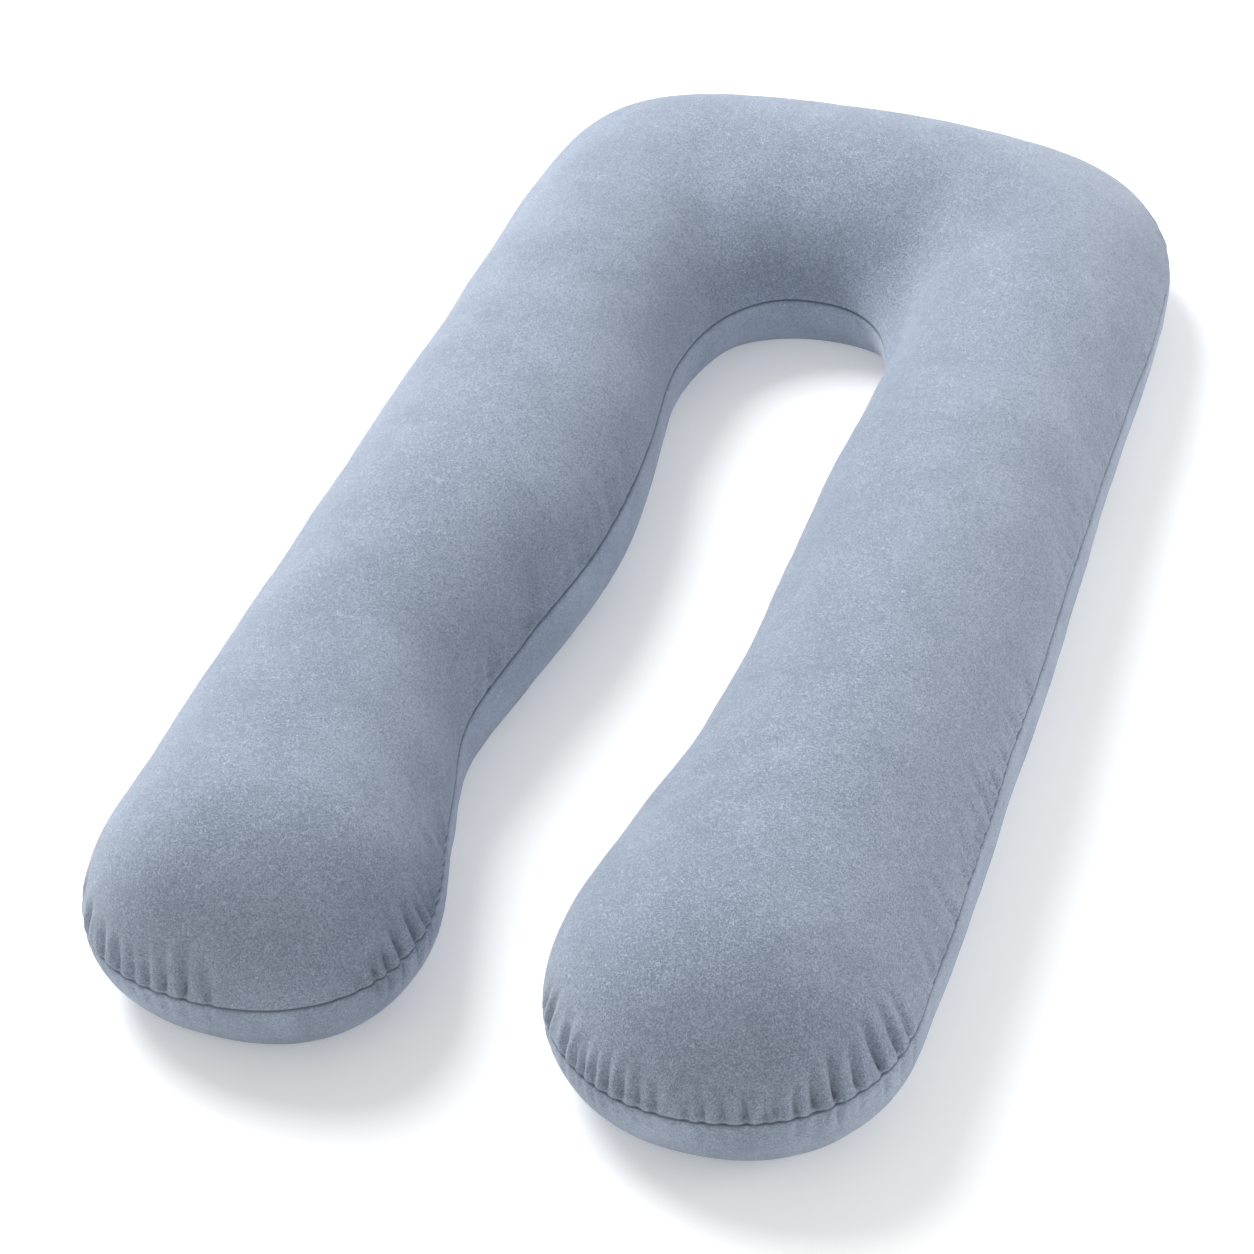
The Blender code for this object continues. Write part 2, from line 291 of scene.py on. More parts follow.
@dataclass
class PillowForm:
    """The stuffed form: ribs across two legs and a head bend, and a half oval at each leg end."""

    left_leg: tuple[Station, ...] = (
        Station(y=-0.56, outer_x=-0.375, inner_x=-0.064, crown_z=0.205),
        Station(y=-0.44, outer_x=-0.373, inner_x=-0.092, crown_z=0.203),
        Station(y=-0.32, outer_x=-0.370, inner_x=-0.116, crown_z=0.200),
        Station(y=-0.20, outer_x=-0.369, inner_x=-0.100, crown_z=0.200),
        Station(y=-0.06, outer_x=-0.368, inner_x=-0.076, crown_z=0.200),
        Station(y=0.10, outer_x=-0.365, inner_x=-0.081, crown_z=0.199),
        Station(y=0.26, outer_x=-0.360, inner_x=-0.102, crown_z=0.195),
    )
    right_leg: tuple[Station, ...] = (
        Station(y=-0.56, outer_x=0.371, inner_x=0.048, crown_z=0.197),
        Station(y=-0.44, outer_x=0.373, inner_x=0.065, crown_z=0.199),
        Station(y=-0.32, outer_x=0.372, inner_x=0.088, crown_z=0.201),
        Station(y=-0.20, outer_x=0.371, inner_x=0.098, crown_z=0.202),
        Station(y=-0.06, outer_x=0.369, inner_x=0.099, crown_z=0.196),
        Station(y=0.10, outer_x=0.365, inner_x=0.098, crown_z=0.190),
        Station(y=0.26, outer_x=0.361, inner_x=0.105, crown_z=0.180),
    )
    seam: tuple[SeamMark, ...] = (
        SeamMark("left leg, outer side", 0.100, 0.082),
        SeamMark("head, back", 0.250, 0.074),
        SeamMark("head, right corner", 0.310, 0.074),
        SeamMark("right leg, outer side", 0.460, 0.092),
        SeamMark("right leg, end", 0.545, 0.075),
        SeamMark("right leg, inner side", 0.660, 0.068),
        SeamMark("head, inner arc", 0.750, 0.070),
        SeamMark("left leg, inner bulge", 0.838, 0.093),
        SeamMark("left leg, waist", 0.885, 0.083),
        SeamMark("left leg, end", 0.955, 0.070),
    )
    widest_z: float = 0.068
    top_power: float = 1.85
    bottom_power: float = 2.15
    bottom_sag: float = 0.037
    left_end_length: float = 0.142
    left_end_power: float = 2.31
    right_end_length: float = 0.163
    right_end_power: float = 2.19
    head_back_y: float = 0.724
    inner_arc_depth: float = 0.158
    inner_arc_power: float = 2.3
    corner_powers: tuple[float, float] = (5.45, 4.4)
    head_crowns: tuple[float, float, float] = (0.182, 0.194, 0.192)
    right_corner_top_power: float = 1.63
    plan_middle: tuple[float, float] = (-0.00111, 0.00051)
    left_ribs: int = 111
    head_ribs: int = 161
    right_ribs: int = 191
    end_steps: int = 231
    top_rows: int = 44
    lower_rows: int = 16
    base_rows: int = 6
    seam_row_step: float = 0.17

    def leg(self, stations: tuple[Station, ...], ribs: int) -> tuple[Array, Array, Array]:
        """Ribs of a leg, whose sides run straight into its end and into the head.

        Args:
            stations: The leg's stations, from its end up to the head.
            ribs: How many ribs the leg is cut into.

        Returns:
            The outer edge, the inner edge and the crown height, from the end to the head.
        """
        first, second = stations[:2]
        before_last, last = stations[-2:]
        past_end = replace(second, y=2 * first.y - second.y)
        past_head = replace(before_last, y=2 * last.y - before_last.y)
        run = (past_end, *stations, past_head)
        ys = [station.y for station in run]
        y = np.linspace(first.y, last.y, ribs)
        outer = np.column_stack([curve_through(ys, [station.outer_x for station in run], y), y])
        inner = np.column_stack([curve_through(ys, [station.inner_x for station in run], y), y])
        return outer, inner, curve_through(ys, [station.crown_z for station in run], y)

    def head(self) -> tuple[Array, Array, Array, Array, Array]:
        """Ribs of the head bend, from left to right.

        Returns:
            The turn in degrees, the outer edge, the inner edge, the crown and the top power.
        """
        left, right = self.left_leg[-1], self.right_leg[-1]
        turn = np.linspace(np.pi, 0, self.head_ribs + 2)[1:-1]
        across, back = oval(turn, self.inner_arc_power)
        width = right.inner_x - left.inner_x
        inner_x = (left.inner_x + right.inner_x + width * across) / 2
        inner = np.column_stack([inner_x, left.y + self.inner_arc_depth * back])
        across, back = np.cos(turn), np.sin(turn)
        power = np.where(across < 0, *self.corner_powers)
        stretch = (np.abs(across) ** power + back ** power) ** (-1 / power)
        outer_x = (left.outer_x + right.outer_x + (right.outer_x - left.outer_x) * across * stretch) / 2
        outer = np.column_stack([outer_x, left.y + (self.head_back_y - left.y) * back * stretch])
        degrees = np.degrees(turn)
        knots = (0, 45, 90, 135, 180)
        crown = curve_through(knots, (right.crown_z, *self.head_crowns, left.crown_z), degrees)
        powers = [self.top_power] * len(knots)
        powers[1] = self.right_corner_top_power
        return degrees, outer, inner, crown, curve_through(knots, powers, degrees)

    def leg_end(self, start: Array, stop: Array, length: float, power: float) -> Array:
        """Edge of a leg end, from one side of the last rib to the other.

        Args:
            start: The side where the half oval starts.
            stop: The side where it ends.
            length: How far it reaches past the last rib.
            power: How square it is, 2 for an ellipse.

        Returns:
            The points of the half oval.
        """
        turn = np.linspace(0, np.pi, self.end_steps + 2)[1:-1]
        sideways, outward = oval(turn, power)
        edge = (start + stop) / 2 + sideways[:, None] * (start - stop) / 2
        edge[:, 1] -= outward * length
        return edge

    def seam_heights(self, edge: Array) -> Array:
        """Height of the seam all the way round.

        Args:
            edge: The points of the pillow's edge.

        Returns:
            The height at each of them.
        """
        steps = np.linalg.norm(np.roll(edge, -1, axis=0) - edge, axis=1)
        way_round = (np.cumsum(steps) - steps) / steps.sum()
        marks = [(mark.way_round + lap, mark.z) for lap in (-1, 0, 1) for mark in self.seam]
        return curve_through(*zip(*marks), way_round)

    def reach_at(self, z: Array, crown: Array, top_power: Array) -> Array:
        """Share of the way from the ridge to the edge that the filling reaches.

        Args:
            z: The height.
            crown: The crown's height there.
            top_power: How square the section is over its widest line.

        Returns:
            The share, 0 over the ridge and 1 at the edge.
        """
        above = np.clip((z - self.widest_z) / (crown - self.widest_z), 0, 1)
        below = np.clip((self.widest_z - z) / (self.widest_z + self.bottom_sag), 0, 1)
        top = (1 - above ** top_power) ** (1 / top_power)
        bottom = (1 - below ** self.bottom_power) ** (1 / self.bottom_power)
        return np.where(z >= self.widest_z, top, bottom)

    def cover(self) -> CoverGrid:
        """The whole cover over the filling, smooth and without its seam and folds.

        Returns:
            The cover's grid, with its plan's middle over the origin.
        """
        left_outer, left_inner, left_crown = self.leg(self.left_leg, self.left_ribs)
        right_outer, right_inner, right_crown = self.leg(self.right_leg, self.right_ribs)
        head_turn, head_outer, head_inner, head_crown, head_power = self.head()
        outer = np.concatenate([left_outer, head_outer, right_outer[::-1]])
        inner = np.concatenate([left_inner, head_inner, right_inner[::-1]])
        crowns = np.concatenate([left_crown, head_crown, right_crown[::-1]])
        left_power = np.full(self.left_ribs, self.top_power)
        right_power = np.full(self.right_ribs, self.top_power)
        powers = np.concatenate([left_power, head_power, right_power])

        right_end = self.leg_end(
            right_outer[0], right_inner[0], self.right_end_length, self.right_end_power)
        left_end = self.leg_end(
            left_inner[0], left_outer[0], self.left_end_length, self.left_end_power)
        edge = np.concatenate([outer, right_end, inner[::-1], left_end])
        ribs = np.arange(len(outer))
        at_end = np.ones(self.end_steps, int)
        rib = np.concatenate([ribs, at_end * ribs[-1], ribs[::-1], at_end * ribs[0]])
        middle, crown, power = ((outer + inner) / 2)[rib], crowns[rib], powers[rib]

        seam = self.seam_heights(edge)
        rise = np.sin(np.pi / 2 * graded(self.top_rows, self.seam_row_step)[::-1])
        heights = [seam + (crown - seam) * share for share in rise]
        heights += [seam * (1 - share) for share in graded(self.lower_rows, self.seam_row_step)[1:]]
        reaches = [self.reach_at(z, crown, power) for z in heights]
        reaches[0] = np.zeros(len(edge))
        shares = np.linspace(1, 0, self.base_rows + 1)[1:]
        heights += [np.zeros(len(edge)) for share in shares]
        reaches += [reaches[-1] * share for share in shares]
        rows = []
        for z, reach in zip(heights, reaches):
            rows.append(np.column_stack([middle + (edge - middle) * reach[:, None], z]))
        points = np.array(rows)
        points[:, :, :2] -= self.plan_middle

        steps = np.linalg.norm(np.diff(points, axis=0), axis=2)
        down = np.concatenate([np.zeros((1, len(edge))), np.cumsum(steps, axis=0)])
        over_seam = down[self.top_rows] - down
        loop = points[self.top_rows]
        steps = np.linalg.norm(np.diff(loop, axis=0), axis=1)
        along = np.concatenate([[0], np.cumsum(steps)])
        places = self.places(loop, along, head_turn)
        return CoverGrid(points, rib, self.top_rows, along, over_seam, places)

    def places(self, loop: Array, along: Array, head_turn: Array) -> dict[Stretch, tuple[Array, Array]]:
        """Tables from a place on each stretch of the edge to the way along the seam.

        Args:
            loop: The seam's points.
            along: The way along the seam to each of them.
            head_turn: The turn of each rib of the head, in degrees.

        Returns:
            For each stretch, its places in rising order and the way along to each.
        """
        turn = np.degrees(np.linspace(0, np.pi, self.end_steps + 2)[1:-1])
        counts = {
            Stretch.LEFT_OUTER: self.left_ribs,
            Stretch.HEAD_BACK: self.head_ribs,
            Stretch.RIGHT_OUTER: self.right_ribs,
            Stretch.RIGHT_END: self.end_steps,
            Stretch.RIGHT_INNER: self.right_ribs,
            Stretch.HEAD_ARC: self.head_ribs,
            Stretch.LEFT_INNER: self.left_ribs,
            Stretch.LEFT_END: self.end_steps,
        }
        tables, start = {}, 0
        for stretch, count in counts.items():
            part = slice(start, start + count)
            start += count
            place = loop[part, 1]
            if stretch is Stretch.HEAD_BACK:
                place = head_turn
            elif stretch is Stretch.HEAD_ARC:
                place = head_turn[::-1]
            elif stretch in (Stretch.RIGHT_END, Stretch.LEFT_END):
                place = turn
            order = np.argsort(place)
            tables[stretch] = (place[order], along[part][order])
        return tables


@dataclass
class CoverFolds:
    """What the sewing and the filling do to the smooth cover: folds, seam, valleys and lumps."""

    folds: tuple[tuple[Stretch, tuple[Fold, ...]], ...] = (
        (Stretch.LEFT_END, (
            Fold(place=3, depth=0.0044, length=0.052, lean=0.13, below=0.9),
            Fold(place=10, depth=0.0052, length=0.055, below=1.0),
            Fold(place=18.5, depth=0.0052, length=0.055, lean=0.06, below=1.0),
            Fold(place=25.5, depth=0.0046, length=0.048, below=1.0),
            Fold(place=31, depth=0.0036, length=0.040, below=0.9),
            Fold(place=38, depth=0.0022, length=0.033, below=0.6),
            Fold(place=47, depth=0.0013, length=0.030),
            Fold(place=88, depth=0.0030, length=0.053),
            Fold(place=94, depth=0.0045, length=0.062, lean=-0.08),
            Fold(place=100, depth=0.0035, length=0.056),
            Fold(place=106, depth=0.0030, length=0.050),
            Fold(place=112, depth=0.0028, length=0.045),
            Fold(place=119, depth=0.0030, length=0.045),
            Fold(place=128, depth=0.0030, length=0.045),
            Fold(place=141, depth=0.0035, length=0.050),
            Fold(place=156, depth=0.0035, length=0.053),
        )),
        (Stretch.RIGHT_END, (
            Fold(place=12, depth=0.0030, length=0.064),
            Fold(place=19, depth=0.0048, length=0.062),
            Fold(place=27, depth=0.0056, length=0.062, lean=0.08),
            Fold(place=37, depth=0.0040, length=0.050),
            Fold(place=45, depth=0.0056, length=0.056),
            Fold(place=52, depth=0.0044, length=0.050, half_width=0.005),
            Fold(place=58, depth=0.0038, length=0.045),
            Fold(place=64, depth=0.0030, length=0.040),
            Fold(place=67.5, depth=0.0028, length=0.037),
            Fold(place=73, depth=0.0036, length=0.045),
            Fold(place=79.5, depth=0.0030, length=0.040),
            Fold(place=85, depth=0.0034, length=0.043),
            Fold(place=89, depth=0.0028, length=0.037),
            Fold(place=97, depth=0.0032, length=0.040),
            Fold(place=102, depth=0.0036, length=0.045),
            Fold(place=107.5, depth=0.0036, length=0.045),
            Fold(place=113, depth=0.0036, length=0.050),
            Fold(place=118, depth=0.0030, length=0.048),
            Fold(place=123, depth=0.0034, length=0.048),
            Fold(place=127, depth=0.0028, length=0.045),
            Fold(place=133, depth=0.0028, length=0.053),
            Fold(place=146, depth=0.0026, length=0.057),
            Fold(place=152, depth=0.0020, length=0.050),
        )),
        (Stretch.LEFT_INNER, (
            Fold(place=-0.561, depth=0.0044, length=0.055, lean=0.05, below=0.8),
            Fold(place=-0.546, depth=0.0044, length=0.060, lean=0.02, below=0.6),
            Fold(place=-0.531, depth=0.0042, length=0.060, lean=0.23),
            Fold(place=-0.516, depth=0.0038, length=0.058, lean=0.28),
            Fold(place=-0.501, depth=0.0034, length=0.056, lean=0.24),
            Fold(place=-0.486, depth=0.0028, length=0.052, lean=0.10),
            Fold(place=-0.471, depth=0.0020, length=0.048, lean=0.10),
        )),
    )
    valleys: tuple[Valley, ...] = (
        Valley(start=(-0.085, 0.350), end=(-0.150, 0.500), depth=0.006, half_width=0.030),
        Valley(start=(0.104, 0.320), end=(0.114, 0.560), depth=0.007, half_width=0.034),
        Valley(start=(0.120, -0.445), end=(0.190, -0.408), depth=0.003, half_width=0.018),
    )
    fine_folds: tuple[FineFolds, ...] = (
        FineFolds(Stretch.RIGHT_OUTER, -0.555, -0.17, 24, depth=0.0026, length=0.050),
        FineFolds(Stretch.RIGHT_OUTER, 0.00, 0.25, 12, depth=0.0017, length=0.045),
        FineFolds(Stretch.HEAD_BACK, 12, 40, 11, depth=0.0023, length=0.050),
        FineFolds(Stretch.LEFT_INNER, -0.30, 0.04, 18, depth=0.0022, length=0.050, lean=-0.5),
        FineFolds(Stretch.RIGHT_INNER, -0.56, -0.30, 10, depth=0.0013, length=0.035),
        FineFolds(Stretch.LEFT_OUTER, -0.56, 0.20, 30, depth=0.0016, length=0.040),
        FineFolds(Stretch.HEAD_BACK, 60, 165, 22, depth=0.0013, length=0.035),
    )
    valley_fade: float = 0.04
    valley_rise: float = 0.03
    rise: float = 0.010
    depth_at_seam: float = 0.15
    heap_share: float = 0.38
    heap_offset: float = 1.9
    heap_limit: float = 0.0015
    trough_power: float = 1.5
    below_reach: float = 0.6
    below_power: float = 1.3
    fullness: float = 2.4
    seam_depth: float = 0.0020
    seam_half_width: float = 0.0015
    seam_power: float = 1.6
    shoulder_height: float = 0.0002
    shoulder_offset: float = 0.0050
    shoulder_half_width: float = 0.0030
    lump_height: float = 0.0005
    lump_size: float = 0.16
    dimple_height: float = 0.00012
    dimple_size: float = 0.045
    lump_waves: int = 14
    lump_spread: tuple[float, float] = (0.7, 1.4)
    pressed_from_z: float = 0.02
    seed: int = 7

    def fold_depths(self, grid: CoverGrid) -> Array:
        """Depth of all the folds over the grid, less the cloth heaped beside them.

        Args:
            grid: The cover.

        Returns:
            The depth at each point, above zero into the pillow.
        """
        above = np.maximum(grid.over_seam, 0)
        below = np.maximum(-grid.over_seam, 0)
        depths = np.zeros(grid.over_seam.shape)
        lap = grid.round_length
        draw = np.random.default_rng(self.seed)
        runs = self.folds + tuple((run.stretch, run.folds(draw)) for run in self.fine_folds)
        for stretch, folds in runs:
            for fold in folds:
                foot = grid.foot(stretch, fold.place)
                aside = grid.along[None, :] - foot - fold.lean * above
                aside = (aside + lap / 2) % lap - lap / 2
                width = fold.half_width * (1 + above / fold.length)
                trough = np.exp(-np.abs(aside / width) ** self.trough_power)
                offset = self.heap_offset * width
                heap = np.exp(-((np.abs(aside) - offset) / width) ** 2)
                rise = np.clip((above + below) / self.rise, 0, 1)
                rise = self.depth_at_seam + (1 - self.depth_at_seam) * rise ** 2 * (3 - 2 * rise)
                fade = np.clip(1 - above / fold.length, 0, 1)
                reach_below = self.below_reach * fold.length
                fade *= np.clip(1 - below / reach_below, 0, 1) ** self.below_power
                share = np.where(grid.over_seam >= 0, 1.0, fold.below)
                strength = self.fullness * fold.depth * rise * fade * share
                depths += strength * (trough - self.heap_share * heap)
        heaped = self.heap_limit * np.tanh(np.minimum(depths, 0) / self.heap_limit)
        return np.maximum(depths, 0) + heaped

    def valley_depths(self, grid: CoverGrid) -> Array:
        """Depth of the soft valleys, which fade out toward the seam.

        Args:
            grid: The cover.

        Returns:
            The depth at each point.
        """
        depths = np.zeros(grid.over_seam.shape)
        for valley in self.valleys:
            start, end = np.array(valley.start), np.array(valley.end)
            line = end - start
            length = np.linalg.norm(line)
            offset = grid.points[:, :, :2] - start
            way = offset @ line / length
            aside = offset @ np.array([-line[1], line[0]]) / length
            beyond = np.clip(np.maximum(-way, way - length), 0, None)
            depths += valley.depth * np.exp(
                -(aside / valley.half_width) ** 2 - (beyond / self.valley_fade) ** 2)
        over_seam = grid.points[:, :, 2] - grid.points[grid.seam_row, :, 2]
        return depths * np.clip(over_seam / self.valley_rise, 0, 1)

    def seam_depths(self, grid: CoverGrid) -> Array:
        """Depth of the sewn line, with the two panels rolled over its sides.

        Args:
            grid: The cover.

        Returns:
            The depth at each point, below zero where the panels stand out.
        """
        away = np.abs(grid.over_seam)
        groove = self.seam_depth * np.exp(-(away / self.seam_half_width) ** self.seam_power)
        offset = (away - self.shoulder_offset) / self.shoulder_half_width
        return groove - self.shoulder_height * np.exp(-offset ** 2)

    def unevenness(self, points: Array, height: float, size: float, seed: int) -> Array:
        """Soft lumps of the filling.

        Args:
            points: The points of the cover.
            height: How far the lumps stand out, about.
            size: How far apart they are, about.
            seed: Seed of the lumps' places.

        Returns:
            How far each point stands out.
        """
        draw = np.random.default_rng(seed)
        waves = self.lump_waves
        lean = draw.normal(size=(waves, 3))
        lean *= (draw.uniform(*self.lump_spread, waves) / np.linalg.norm(lean, axis=1))[:, None]
        phase = draw.uniform(0, 2 * np.pi, waves)
        angles = points @ (lean.T * 2 * np.pi / size) + phase
        return height * np.sin(angles).sum(axis=2) / math.sqrt(waves / 2)

    def pressed(self, grid: CoverGrid) -> Array:
        """The seam, the folds, the valleys and the lumps, worked into the cover.

        Args:
            grid: The smooth cover.

        Returns:
            The grid's points with all of them.
        """
        depths = self.fold_depths(grid) + self.valley_depths(grid) + self.seam_depths(grid)
        depths -= self.unevenness(grid.points, self.lump_height, self.lump_size, self.seed)
        depths -= self.unevenness(grid.points, self.dimple_height, self.dimple_size, self.seed + 1)
        above_base = np.clip(grid.points[:, :, 2] / self.pressed_from_z, 0, 1)
        points = grid.points - grid.normals() * (depths * above_base)[:, :, None]
        points[:, :, 2] = np.maximum(points[:, :, 2], 0)
        return points


@dataclass
class FillingPressure:
    """The filling pushing out a cover that is cut fuller than its seam, by cloth simulation.

    The crown, the base, the seam line and the sides of the legs are held. At the leg ends the
    band beside the seam has more cloth than it needs, so the pressure throws it into puckers.
    """

    pressure: float = 4.0
    frames: int = 20
    quality: int = 5
    fullness_at_ends: float = 0.10
    band: float = 0.065
    held_beyond: float = 0.085
    base_z: float = 0.004
    slack_from: float = 0.006
    slack_power: float = 0.5
    stiffness: float = 15.0
    bending: float = 0.05
    most_move: float = 0.0035
    soft_columns: int = 8

    def at_ends(self, grid: CoverGrid) -> Array:
        """Which columns of the grid are at the leg ends.

        Args:
            grid: The cover.

        Returns:
            1 for the columns of the leg ends and 0 for the others, with soft changes between.
        """
        inside = np.zeros(len(grid.along))
        for stretch in (Stretch.LEFT_END, Stretch.RIGHT_END):
            first, last = sorted(grid.foot(stretch, place) for place in (0, 180))
            inside[(grid.along >= first) & (grid.along <= last)] = 1
        width = self.soft_columns
        window = np.ones(2 * width + 1) / (2 * width + 1)
        return np.convolve(np.pad(inside, width, "wrap"), window, "valid")

    def held(self, grid: CoverGrid) -> Array:
        """How firmly each point is held.

        Args:
            grid: The cover.

        Returns:
            0 for a free point, up to 1 for a fixed one.
        """
        away = np.abs(grid.over_seam)
        held = np.clip((away - self.band) / (self.held_beyond - self.band), 0, 1)
        held = np.maximum(held, 1 - self.at_ends(grid))
        held[grid.seam_row] = 1
        held[grid.points[:, :, 2] < self.base_z] = 1
        return held

    def fullness(self, grid: CoverGrid) -> Array:
        """How much of the spare cloth each point has.

        Args:
            grid: The cover.

        Returns:
            0 for none, up to 1 for all of it.
        """
        away = np.abs(grid.over_seam)
        fullness = np.clip(away / self.slack_from, 0, 1)
        fullness *= np.clip(1 - away / self.band, 0, 1) ** self.slack_power
        return fullness * self.at_ends(grid)

    def settle(self, grid: CoverGrid) -> Array:
        """Run the simulation.

        Args:
            grid: The full cover, with its folds already worked in as seeds.

        Returns:
            How far each point of the full grid moves.
        """
        trial_grid = grid.halved()
        points, faces = trial_grid.faces()
        mesh = bpy.data.meshes.new("cover_trial")
        mesh.from_pydata(points.tolist(), [], faces)
        trial = bpy.data.objects.new("cover_trial", mesh)
        bpy.context.scene.collection.objects.link(trial)
        for name, weights in (("held", self.held(trial_grid)), ("full", self.fullness(trial_grid))):
            group = trial.vertex_groups.new(name=name)
            for index, weight in enumerate(trial_grid.shared(weights).tolist()):
                group.add([index], weight, "REPLACE")
        cloth = trial.modifiers.new("cloth", "CLOTH")
        settings = cloth.settings
        settings.quality = self.quality
        settings.tension_stiffness = settings.compression_stiffness = self.stiffness
        settings.bending_stiffness = self.bending
        settings.use_pressure = True
        settings.uniform_pressure_force = self.pressure
        settings.vertex_group_mass = "held"
        settings.vertex_group_shrink = "full"
        settings.shrink_min = 0
        settings.shrink_max = -self.fullness_at_ends
        settings.effector_weights.gravity = 0
        cloth.collision_settings.use_collision = False
        cloth.collision_settings.use_self_collision = False
        cloth.point_cache.frame_end = self.frames
        scene = bpy.context.scene
        for number in range(1, self.frames + 1):
            scene.frame_set(number)
        settled = trial.evaluated_get(bpy.context.evaluated_depsgraph_get()).to_mesh()
        moved = np.empty(len(points) * 3)
        settled.vertices.foreach_get("co", moved)
        bpy.data.objects.remove(trial, do_unlink=True)
        bpy.data.meshes.remove(mesh)
        scene.frame_set(1)
        moves = moved.reshape(-1, 3) - points
        size = np.linalg.norm(moves, axis=1, keepdims=True)
        LOG.info("pressure moved the cover by up to %.1f mm, %.2f mm on the whole",
                 1000 * size.max(), 1000 * size.mean())
        moves *= np.tanh(size / self.most_move) * self.most_move / np.maximum(size, 1e-9)
        return doubled(trial_grid.spread(moves))


@dataclass(frozen=True)
class VelvetFinish:
    """Greyish blue short-pile velvet, its nap brushed a little this way and that, with painted shade
    along the seam's groove.
    """

    slot: str = "velvet"
    pile_light: tuple[float, float, float, float] = (0.482, 0.553, 0.676, 1)
    pile_dark: tuple[float, float, float, float] = (0.232, 0.280, 0.362, 1)
    # Colour of the painted shade along the seam's groove
    painted_seam_shade_colour: tuple[float, float, float, float] = (0.12, 0.145, 0.19, 1)
    roughness: float = 0.95
    specular: float = 0.15
    sheen: float = 0.55
    sheen_roughness: float = 0.35
    sheen_tint: tuple[float, float, float, float] = (0.90, 0.94, 1.0, 1)
    # How far the painted seam shade darkens the velvet
    painted_seam_shade_share: float = 0.85
    lower_panel_contrast: float = 0.5
    thread_scale: float = 340.0
    thread_width: float = 0.09
    nap_scale: float = 520.0
    pile_scale: float = 900.0
    cloud_scale: float = 16.0
    nap_share: float = 0.9
    thread_share: float = 0.35
    cloud_share: float = 0.22
    pile_share: float = 0.4
    darker_by: float = 0.57
    lightest_from: float = 0.24
    panel_change: float = 0.002
    # Half width of the painted seam shade, and the share of it that is fully dark
    painted_seam_shade_width: float = 0.0021
    painted_seam_shade_core: float = 0.2
    bump_strength: float = 0.7
    bump_distance: float = 0.0014

    def material(self) -> bpy.types.Material:
        """The velvet as a node material.

        Returns:
            The material, named pillow_velvet.
        """
        material = bpy.data.materials.new("pillow_velvet")
        material.use_nodes = True
        nodes, links = material.node_tree.nodes, material.node_tree.links
        shader = nodes["Principled BSDF"]
        shader.inputs["Roughness"].default_value = self.roughness
        shader.inputs["Specular IOR Level"].default_value = self.specular
        shader.inputs["Sheen Weight"].default_value = self.sheen
        shader.inputs["Sheen Roughness"].default_value = self.sheen_roughness
        shader.inputs["Sheen Tint"].default_value = self.sheen_tint

        place = nodes.new("ShaderNodeTexCoord").outputs["Object"]
        nap = self.noise(nodes, links, place, self.nap_scale, detail=3, distortion=1.2)
        pile = self.noise(nodes, links, place, self.pile_scale, detail=2, distortion=0.4)
        cloud = self.noise(nodes, links, place, self.cloud_scale, detail=3, distortion=0.5)
        curls = self.noise(nodes, links, place, self.thread_scale, detail=1, distortion=2.5)
        off_middle = self.math(nodes, links, "SUBTRACT", curls, 0.5)
        off_middle = self.math(nodes, links, "ABSOLUTE", off_middle)
        threads = self.soft_step(nodes, links, off_middle, self.thread_width, 0.0)

        over_seam = nodes.new("ShaderNodeAttribute")
        over_seam.attribute_name = SEAM_ATTRIBUTE
        distance = over_seam.outputs["Fac"]
        top = self.soft_step(nodes, links, distance, -self.panel_change, self.panel_change)
        contrast = self.math(nodes, links, "MULTIPLY", top, 1 - self.lower_panel_contrast)
        contrast = self.math(nodes, links, "ADD", contrast, self.lower_panel_contrast)
        fibres = self.math(nodes, links, "MULTIPLY", threads, self.thread_share)
        fibres = self.math(nodes, links, "MULTIPLY_ADD", nap, self.nap_share, fibres)
        fibres = self.math(nodes, links, "SUBTRACT", fibres, self.darker_by)
        shade = self.math(nodes, links, "MULTIPLY", fibres, contrast)
        shade = self.math(nodes, links, "MULTIPLY_ADD", cloud, self.cloud_share, shade)
        ramp = nodes.new("ShaderNodeValToRGB")
        ramp.color_ramp.elements[0].position = 0.0
        ramp.color_ramp.elements[0].color = self.pile_dark
        ramp.color_ramp.elements[1].position = self.lightest_from
        ramp.color_ramp.elements[1].color = self.pile_light
        links.new(shade, ramp.inputs["Fac"])

        # Painted shade: the base colour darkens towards the seam's groove, where shade falls
        away = self.math(nodes, links, "ABSOLUTE", distance)
        core = self.painted_seam_shade_core * self.painted_seam_shade_width
        painted_seam_shade_mask = self.soft_step(nodes, links, away, self.painted_seam_shade_width, core)
        painted_seam_shade_mask = self.math(nodes, links, "MULTIPLY", painted_seam_shade_mask, self.painted_seam_shade_share)
        line = nodes.new("ShaderNodeMix")
        line.data_type = "RGBA"
        first, second = [socket for socket in line.inputs if socket.type == "RGBA"]
        second.default_value = self.painted_seam_shade_colour
        links.new(painted_seam_shade_mask, line.inputs[0])
        links.new(ramp.outputs["Color"], first)
        result = [socket for socket in line.outputs if socket.type == "RGBA"][0]
        links.new(result, shader.inputs["Base Color"])

        heights = self.math(nodes, links, "MULTIPLY_ADD", pile, self.pile_share, nap)
        heights = self.math(nodes, links, "MULTIPLY_ADD", threads, self.thread_share, heights)
        heights = self.math(nodes, links, "MULTIPLY", heights, contrast)
        bump = nodes.new("ShaderNodeBump")
        bump.inputs["Strength"].default_value = self.bump_strength
        bump.inputs["Distance"].default_value = self.bump_distance
        links.new(heights, bump.inputs["Height"])
        links.new(bump.outputs["Normal"], shader.inputs["Normal"])
        return material

